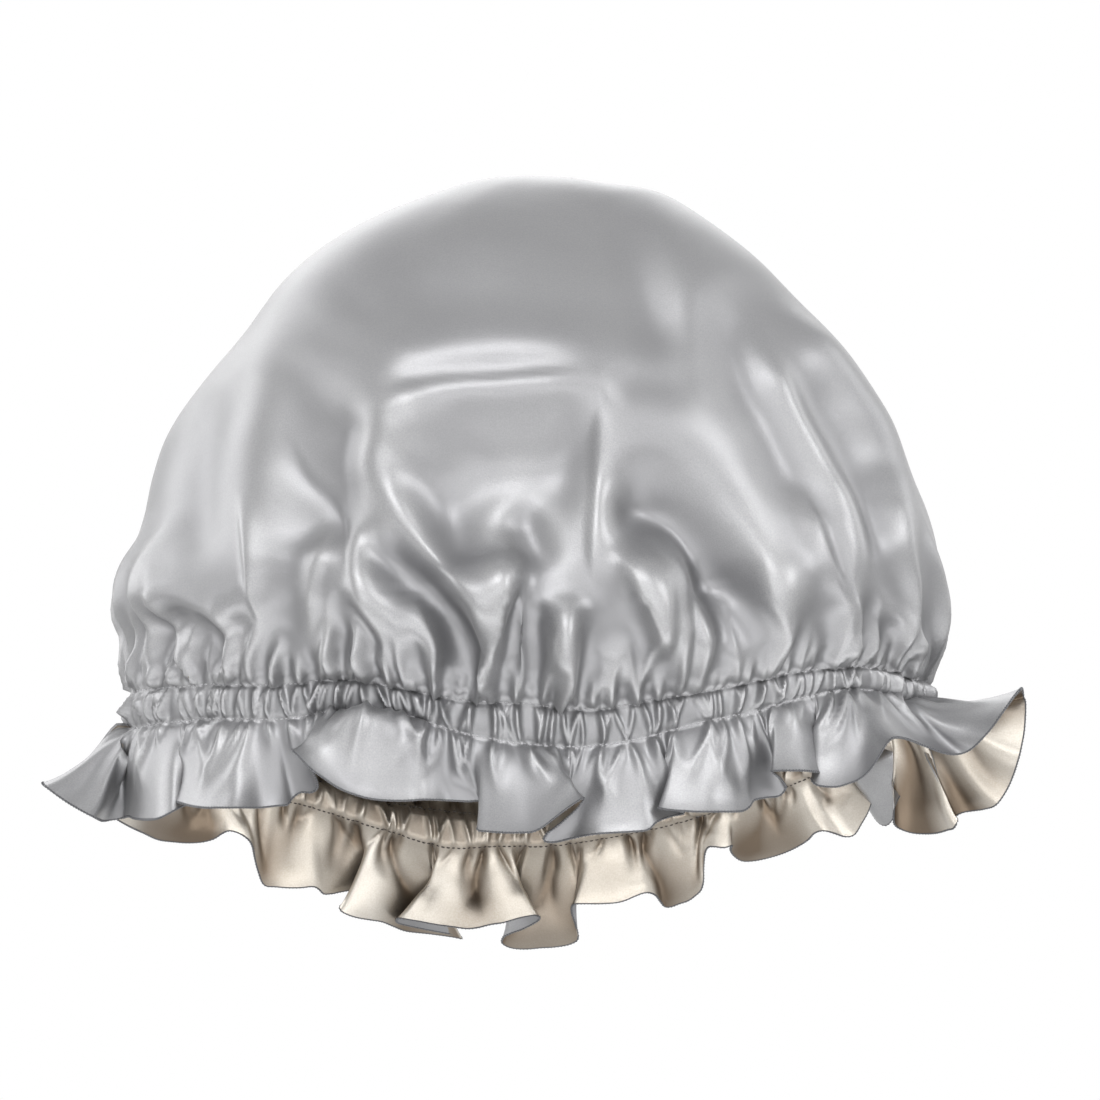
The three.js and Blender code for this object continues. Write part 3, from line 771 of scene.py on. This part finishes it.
# the band's rounded section: shares of its width and of its thickness
section = [(-0.5, -0.35), (-0.5, -0.8), (-0.47, -1.0), (0.47, -1.0),
           (0.5, -0.8), (0.5, -0.2), (0.47, 0.0), (-0.47, 0.0)]
rings = []
for across, deep in section:
    depth = BAND_GAP + inner_lap - ELASTIC_THICKNESS * deep
    rings.append(band_middle + band_across * (band_width * across) - band_out * depth[:, None])
elastic = swept("braided_elastic_band", np.stack(rings, 1), False)

# %% Sew the lapped ends to and fro
TACK_TURNS = 7
TACK_WIDTH = 7.0
TACK_THREAD = 0.4
TACK_STEPS = 84
TACK_SHARE = 0.7
TACK_LIFT = 0.2
step = np.linspace(0, 1, TACK_STEPS + 1)
tack_angle = LAP_ANGLE + (step - 0.5) * lap_turn * TACK_SHARE
tack_side = np.cos(step * TACK_TURNS * math.pi) * TACK_WIDTH / 2
tack_middle, _, tack_across, tack_out = casing_at(tack_angle)
tack_line = (tack_middle + tack_across * tack_side[:, None]
             - tack_out * (2 * ELASTIC_THICKNESS + TACK_LIFT + TACK_THREAD / 2))
# no tube here runs along this direction
ASLANT = np.array([0.31, 0.22, 0.93])


def tube(name, line, radius, closed, corners=8):
    """A round tube along a line of points."""
    line = np.asarray(line, float)
    ahead = np.roll(line, -1, axis=0) - np.roll(line, 1, axis=0)
    if not closed:
        ahead[0], ahead[-1] = line[1] - line[0], line[-1] - line[-2]
    ahead = unit(ahead)
    side = unit(np.cross(ahead, ASLANT))
    up = np.cross(ahead, side)
    turn = np.arange(corners) / corners * TURN
    rings = (line[:, None] + radius * (np.cos(turn)[None, :, None] * side[:, None]
                                       + np.sin(turn)[None, :, None] * up[:, None]))
    return swept(name, rings, closed)


tack = tube("elastic_tack_thread", tack_line, TACK_THREAD / 2, False)
print("elastic", len(elastic.data.polygons), "faces, tack", len(tack.data.polygons), "faces")

# %% [markdown]
# ## Stitches
# A node tree repeats one small stitch along a line: it turns the line into a curve, spaces
# points along it evenly, and lays a stitch on each, flat on the cloth and along the line.

# %% A node tree that repeats a stitch
def add(tree, kind, inputs=(), **settings):
    """A node with its settings and inputs. An input is a value, a socket, or a node, which
    gives its first output."""
    node = tree.nodes.new(kind)
    for key, value in settings.items():
        setattr(node, key, value)
    for key, value in dict(inputs).items():
        if isinstance(value, bpy.types.Node):
            value = value.outputs[0]
        if isinstance(value, bpy.types.NodeSocket):
            tree.links.new(value, node.inputs[key])
        else:
            node.inputs[key].default_value = value
    return node


def repeat_tree():
    """The tree with its named inputs; the random value's sockets 2 and 3 are its numbers."""
    tree = bpy.data.node_groups.new("repeat_along_line", "GeometryNodeTree")
    for name, kind in (("Geometry", "NodeSocketGeometry"), ("Spacing", "NodeSocketFloat"),
                       ("Stitch", "NodeSocketObject"), ("Unevenness", "NodeSocketFloat"),
                       ("Seed", "NodeSocketInt"), ("Thread", "NodeSocketMaterial")):
        tree.interface.new_socket(name, in_out="INPUT", socket_type=kind)
    tree.interface.new_socket("Geometry", in_out="OUTPUT", socket_type="NodeSocketGeometry")
    given = tree.nodes.new("NodeGroupInput").outputs
    facing = add(tree, "GeometryNodeInputNamedAttribute", {"Name": "facing"}, data_type="FLOAT_VECTOR")
    line = add(tree, "GeometryNodeMeshToCurve", {"Mesh": given["Geometry"]})
    even = add(tree, "GeometryNodeResampleCurve", {"Curve": line, "Length": given["Spacing"]},
               mode="LENGTH")
    along = add(tree, "GeometryNodeInputTangent")
    lying = add(tree, "FunctionNodeAlignRotationToVector", {"Vector": along}, axis="X")
    flat = add(tree, "FunctionNodeAlignRotationToVector", {"Rotation": lying, "Vector": facing},
               axis="Z", pivot_axis="X")
    low = add(tree, "ShaderNodeMath", {0: 1.0, 1: given["Unevenness"]}, operation="SUBTRACT")
    high = add(tree, "ShaderNodeMath", {0: 1.0, 1: given["Unevenness"]}, operation="ADD")
    size = add(tree, "FunctionNodeRandomValue", {2: low, 3: high, "Seed": given["Seed"]},
               data_type="FLOAT")
    scale = add(tree, "ShaderNodeCombineXYZ", {"X": size.outputs[1], "Y": 1.0, "Z": 1.0})
    stitch = add(tree, "GeometryNodeObjectInfo", {"Object": given["Stitch"]})
    laid = add(tree, "GeometryNodeInstanceOnPoints", {
        "Points": even, "Instance": stitch.outputs["Geometry"], "Rotation": flat, "Scale": scale})
    real = add(tree, "GeometryNodeRealizeInstances", {"Geometry": laid})
    painted = add(tree, "GeometryNodeSetMaterial", {"Geometry": real, "Material": given["Thread"]})
    add(tree, "NodeGroupOutput", {"Geometry": painted})
    return tree


REPEAT = repeat_tree()


def repeated(name, line, facing, spacing, stitch, material, unevenness, seed):
    """Stitches along a closed line of points in millimetres, as a plain mesh."""
    mesh = bpy.data.meshes.new(name + "_line")
    n = len(line)
    mesh.from_pydata((line * MM).tolist(), [(k, (k + 1) % n) for k in range(n)], [])
    store(mesh, "facing", "FLOAT_VECTOR", facing)
    guide = placed(name + "_line", mesh)
    modifier = guide.modifiers.new("repeat", "NODES")
    modifier.node_group = REPEAT
    values = {"Spacing": spacing * MM, "Stitch": stitch, "Unevenness": unevenness, "Seed": seed,
              "Thread": material}
    for item in REPEAT.interface.items_tree:
        if item.in_out == "INPUT" and item.name in values:
            modifier[item.identifier] = values[item.name]
    bpy.context.view_layer.update()
    seen = guide.evaluated_get(bpy.context.evaluated_depsgraph_get())
    made = bpy.data.meshes.new_from_object(seen)
    made.polygons.foreach_set("use_smooth", [True] * len(made.polygons))
    bpy.data.objects.remove(guide)
    return placed(name, made)


def stitch_shape(name, length, thickness, arch):
    """One stitch: a short thread whose ends dip into the cloth."""
    s = np.linspace(-1, 1, 9)
    line = np.stack([s * length / 2, 0 * s, arch * (1 - s ** 2) - 0.35 * thickness], -1)
    return tube(name, line, thickness / 2, False, 6)

# %% [markdown]
# ## Satin
# Satin is woven from shiny polyester so that long threads float over its face. They lie side
# by side and throw light back like brushed metal. Deep in a fold light goes from cloth to
# cloth and takes on more of its colour, and less light reaches it; that shade is painted into
# the colour here, darker down in the folds. A picture of a weave could be laid on the cloth,
# but a pattern in nodes has no seams and holds no light of its own. Real threads are finer
# than a pixel, so they are drawn as coarse as they need to be to show.

# %% Satin
THREAD_LENGTH = 1.11
THREAD_WIDTH = 0.192
GRAIN_SIZE = 0.435
CLOUD_SIZE = 41.7
SATIN_RELIEF = 0.12


def linear(hex_colour):
    """A colour picked on screen, as the linear values that shaders use."""
    values = [int(hex_colour[i:i + 2], 16) / 255 for i in (1, 3, 5)]
    return [v / 12.92 if v < 0.04045 else ((v + 0.055) / 1.055) ** 2.4 for v in values] + [1.0]


def new_material(name):
    """An empty material, its node tree and the place on the object that its patterns use."""
    material = bpy.data.materials.new(name)
    material.use_nodes = True
    tree = material.node_tree
    tree.nodes.clear()
    return material, tree, add(tree, "ShaderNodeTexCoord").outputs["Object"]


def per_metre(size):
    """The scale of a pattern whose parts are this many millimetres long."""
    return 1 / (size * MM)


def surface(material, colour, roughness, height, strength, depth, more=()):
    """The material with a shader that has a colour and a fine relief, in millimetres."""
    tree = material.node_tree
    bump = add(tree, "ShaderNodeBump", {"Height": height, "Strength": strength,
                                        "Distance": depth * MM})
    shader = add(tree, "ShaderNodeBsdfPrincipled", {
        "Base Color": colour, "Roughness": roughness, "Normal": bump, **dict(more)})
    add(tree, "ShaderNodeOutputMaterial", {"Surface": shader})
    return material


def satin(name, base, shade, deep, metallic, roughness):
    """Satin: threads that run one way on the flat cloth, faint clouds, grain and a metallic
    sheen, with painted shade in the colour deep down in the folds. A mix node has its colours at 6, 7 and
    2."""
    material, tree, place = new_material(name)
    flat = add(tree, "ShaderNodeAttribute", attribute_name="flat_cloth").outputs["Vector"]
    # how much painted shade each point gets deep in a fold
    fold = add(tree, "ShaderNodeAttribute", attribute_name="painted_fold_shade").outputs["Fac"]
    along = add(tree, "ShaderNodeMapping", {
        "Vector": flat, "Scale": (per_metre(THREAD_LENGTH), per_metre(THREAD_WIDTH), 1.0)})
    floats = add(tree, "ShaderNodeTexNoise", {"Vector": along, "Scale": 1.0, "Detail": 2.0})
    grain = add(tree, "ShaderNodeTexNoise", {
        "Vector": place, "Scale": per_metre(GRAIN_SIZE), "Detail": 2.0})
    cloud = add(tree, "ShaderNodeTexNoise", {
        "Vector": place, "Scale": per_metre(CLOUD_SIZE), "Detail": 3.0})
    relief = add(tree, "ShaderNodeMath", {0: floats, 1: grain}, operation="ADD")
    mottle = add(tree, "ShaderNodeMath", {0: cloud, 1: grain}, operation="ADD")
    spread = add(tree, "ShaderNodeMapRange", {"Value": mottle, "From Min": 0.65, "From Max": 1.35})
    tone = add(tree, "ShaderNodeMix", {"Factor": spread, 6: linear(shade), 7: linear(base)},
               data_type="RGBA")
    # painted shade: the colour turns to deep down in the folds
    tone = add(tree, "ShaderNodeMix", {"Factor": fold, 6: tone.outputs[2], 7: linear(deep)},
               data_type="RGBA")
    return surface(material, tone.outputs[2], roughness, relief, 0.3, SATIN_RELIEF,
                   {"Metallic": metallic, "Sheen Weight": 0.12, "Sheen Roughness": 0.4})


# base and random mottle colours, then the painted shade deep in the folds: grey for the silver, brown for
# the lining
silver_satin = satin("silver_satin_weave", "#a8a8a9", "#929294", "#8a8a8c", 0.82, 0.43)
champagne_satin = satin("champagne_satin_weave", "#cfcac2", "#b8b0a4", "#6e6153", 0.8, 0.36)
print("satins:", silver_satin.name, champagne_satin.name)

# %% [markdown]
# ## Sewing thread
# Sewing thread is spun polyester, two plies twisted together, so fine slanting bands cross
# it. Each ply could be a tube, but over hundreds of small stitches a pattern shows as much.

# %% Sewing thread
PLY_PITCH = 0.449
PLY_RELIEF = 0.1
# a wave texture of scale 1 repeats after this length, or after twice that where it slants
WAVE_LENGTH = TURN / 20


def spun_thread(name, colour, dark, roughness):
    """Sewing thread: two plies whose twist shows as fine slanting bands."""
    material, tree, place = new_material(name)
    twist = add(tree, "ShaderNodeTexWave", {
        "Vector": place, "Scale": 2 * WAVE_LENGTH * per_metre(PLY_PITCH), "Distortion": 1.5},
        bands_direction="DIAGONAL").outputs["Fac"]
    tone = add(tree, "ShaderNodeMix", {"Factor": twist, 6: linear(dark), 7: linear(colour)},
               data_type="RGBA")
    return surface(material, tone.outputs[2], roughness, twist, 0.3, PLY_RELIEF,
                   {"Sheen Weight": 0.3, "Sheen Roughness": 0.5})


silver_thread = spun_thread("polyester_thread_silver", "#d9d9db", "#a4a4a8", 0.45)
dark_thread = spun_thread("polyester_thread_dark", "#3a322c", "#1f1a17", 0.5)
edging_thread = spun_thread("overlock_thread_grey", "#66676b", "#3c3d40", 0.5)
print("threads:", silver_thread.name, dark_thread.name, edging_thread.name)

# %% [markdown]
# ## Braided elastic
# Elastic is rubber cores inside a net of crossing polyester yarns. The yarns could be swept
# one by one, but the band is hidden in the casing, so two crossing wave patterns are enough.

# %% Braided elastic
BRAID_PITCH = 0.98
BRAID_RELIEF = 0.2


def braid(name, light, dark):
    """Braided elastic: rubber cores under yarns that cross in a fine net."""
    material, tree, place = new_material(name)
    scale = WAVE_LENGTH * per_metre(BRAID_PITCH)
    left, right = (add(tree, "ShaderNodeTexWave", {"Vector": place, "Scale": scale},
                       bands_direction=way).outputs["Fac"] for way in ("DIAGONAL", "Z"))
    both = add(tree, "ShaderNodeMath", {0: left, 1: right}, operation="MULTIPLY")
    tone = add(tree, "ShaderNodeMix", {"Factor": both, 6: linear(dark), 7: linear(light)},
               data_type="RGBA")
    return surface(material, tone.outputs[2], 0.75, both, 0.5, BRAID_RELIEF)


white_elastic = braid("braided_polyester_elastic", "#f0efec", "#c4c2bd")
print("elastic:", white_elastic.name)

# %% [markdown]
# ## Sewing the bonnet together
# The needle's thread shows on the silver side and the bobbin's dark thread on the lining.
# The hem is rolled once and overcast.

# %% Lay the stitches and the rolled hem
STITCH_SPACING = 1.7
STITCH_LENGTH = 0.85
THREAD_THICKNESS = 0.38
STITCH_ARCH = 0.16
STITCH_LIFT = 0.10
HEM_THICKNESS = 0.55
OVERCAST_SPACING = 1.1
OVERCAST_RADIUS = 0.10
stitch = stitch_shape("lockstitch", STITCH_LENGTH, THREAD_THICKNESS, STITCH_ARCH)
out_facing = normals(cloth)
in_facing = -normals(lining)
stitch_rows = []
for name, grid, side, row, material, seed in (
        ("upper_row_stitches_silver", cloth, out_facing, ROW_A, silver_thread, 3),
        ("lower_row_stitches_silver", cloth, out_facing, ROW_B, silver_thread, 4),
        ("upper_row_stitches_dark", lining, in_facing, ROW_A, dark_thread, 5),
        ("lower_row_stitches_dark", lining, in_facing, ROW_B, dark_thread, 6)):
    line = grid[row] + side[row] * STITCH_LIFT
    line = (np.roll(line, 1, axis=0) + 2 * line + np.roll(line, -1, axis=0)) / 4
    stitch_rows.append(repeated(name, line, side[row], STITCH_SPACING, stitch, material, 0.12, seed))

hem_line = (cloth[-1] + lining[-1]) / 2 + unit(cloth[-1] - cloth[-2]) * 0.1
rolled = tube("rolled_hem", hem_line, HEM_THICKNESS / 2, True)
loop_turn = np.linspace(0, TURN * 0.8, 13)
loop_radius = HEM_THICKNESS / 2 + 0.04
loop_line = np.stack([0.35 * (loop_turn / TURN - 0.4), np.cos(loop_turn) * loop_radius,
                      np.sin(loop_turn) * loop_radius], -1)
overcast = tube("overcast_stitch", loop_line, OVERCAST_RADIUS, False, 5)
overcasting = repeated("hem_overcasting", hem_line, out_facing[-1], OVERCAST_SPACING, overcast,
                       edging_thread, 0.05, 8)
for shape in (stitch, overcast):
    bpy.data.objects.remove(shape)
print("stitches:", [len(o.data.polygons) for o in stitch_rows], "hem", len(overcasting.data.polygons))

# %% [markdown]
# Each piece gets its material and the body that it rides on, and the solids that it stands for are hidden.

# %% Materials, bodies and the solids replaced
for obj, material, slot_name, nodes in (
        (silver_cloth, silver_satin, "silver_satin", ["outer_shell"]),
        (lining_cloth, champagne_satin, "champagne_satin", ["lining_shell"]),
        (elastic, white_elastic, "braided_elastic", ["elastic_band"]),
        (tack, silver_thread, "silver_thread", ["elastic_lap_tack"]),
        (stitch_rows[0], silver_thread, "silver_thread", ["upper_row_needle_thread"]),
        (stitch_rows[1], silver_thread, "silver_thread", ["lower_row_needle_thread"]),
        (stitch_rows[2], dark_thread, "dark_thread", ["upper_row_bobbin_thread"]),
        (stitch_rows[3], dark_thread, "dark_thread", ["lower_row_bobbin_thread"]),
        (rolled, edging_thread, "grey_edging", ["hem_edging"]),
        (overcasting, edging_thread, "grey_edging", [])):
    obj.data.materials.clear()
    obj.data.materials.append(material)
    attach(obj, "root")
    if nodes:
        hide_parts(*nodes)

# %% [markdown]
# ## Light
# Satin shows what it mirrors, so each light has one job. A softbox hangs above the front for
# the upper crown, a wide panel behind the camera lights what faces it, and a low one the zone
# that leans over the casing. Two stand at the right and one at the left, and one behind draws
# the rim. The room and the floor are white to the camera and to mirrored and bent rays.

# %% Lights, backdrop and floor
def softbox(name, place, aim, width, height, power):
    """A rectangular area light at a place in millimetres, turned to a point."""
    light = bpy.data.lights.new(name, "AREA")
    light.shape = "RECTANGLE"
    light.size = width * MM
    light.size_y = height * MM
    light.energy = power
    obj = placed(name, light)
    obj.location = Vector(place) * MM
    obj.rotation_euler = (Vector(aim) - Vector(place)).to_track_quat("-Z", "Y").to_euler()
    obj.visible_camera = False


middle = (0, 0, 70)
softbox("front_softbox", (-170, -1250, 1000), middle, 900, 550, 9.5)
softbox("camera_side_panel", (0, -1700, -40), middle, 2000, 640, 8.6)
softbox("table_panel", (0, -400, -450), (0, -100, 30), 1600, 220, 3.0)
softbox("right_softbox", (1250, -930, 650), middle, 600, 700, 7.5)
softbox("far_right_softbox", (1400, 500, 600), middle, 800, 1000, 4.0)
softbox("left_softbox", (-1450, 330, 450), middle, 850, 1300, 8.5)
softbox("back_softbox", (-350, 1250, 950), middle, 2000, 800, 10)


def seen_white(tree, shader, share):
    """The shader, and for the camera and for mirrored or bent rays a share of plain white."""
    ray = add(tree, "ShaderNodeLightPath").outputs
    seen = add(tree, "ShaderNodeMath", {0: ray["Is Camera Ray"], 1: ray["Is Glossy Ray"]},
               operation="MAXIMUM")
    seen = add(tree, "ShaderNodeMath", {0: seen, 1: ray["Is Transmission Ray"]},
               operation="MAXIMUM")
    seen = add(tree, "ShaderNodeMath", {0: seen, 1: share}, operation="MULTIPLY")
    white = add(tree, "ShaderNodeBackground" if tree == room_tree else "ShaderNodeEmission",
                {"Color": (1, 1, 1, 1), "Strength": 1.0})
    return add(tree, "ShaderNodeMixShader", {"Fac": seen, 1: shader, 2: white})


world = bpy.data.worlds.new("white_room")
bpy.context.scene.world = world
world.use_nodes = True
room_tree = world.node_tree
room_tree.nodes.clear()
room = add(room_tree, "ShaderNodeBackground", {"Color": linear("#d8d8da"), "Strength": 0.35})
add(room_tree, "ShaderNodeOutputWorld", {"Surface": seen_white(room_tree, room, 1.0)})

FLOOR_DROP = 500.0
FLOOR_HALF = 2000.0
FLOOR_WHITE = 0.75
FLOOR_SPECKLE = 16.67
floor_corners = [(x * FLOOR_HALF, y * FLOOR_HALF, -FLOOR_DROP)
                 for x, y in ((-1, -1), (1, -1), (1, 1), (-1, 1))]
floor = mesh_object("studio_floor", floor_corners, [(0, 1, 2, 3)], False)
floor_material, floor_tree, floor_place = new_material("matt_white_floor_paint")
speckle = add(floor_tree, "ShaderNodeTexNoise", {
    "Vector": floor_place, "Scale": per_metre(FLOOR_SPECKLE), "Detail": 2.0})
tone = add(floor_tree, "ShaderNodeMix", {"Factor": speckle, 6: linear("#dededc"),
                                         7: linear("#e6e6e4")}, data_type="RGBA")
paint = add(floor_tree, "ShaderNodeBsdfPrincipled", {"Base Color": tone.outputs[2],
                                                     "Roughness": 0.9})
painted = seen_white(floor_tree, paint, FLOOR_WHITE)
add(floor_tree, "ShaderNodeOutputMaterial", {"Surface": painted})
floor.data.materials.append(floor_material)
bpy.context.scene.view_settings.view_transform = "Standard"
print("lights:", len(bpy.data.lights))
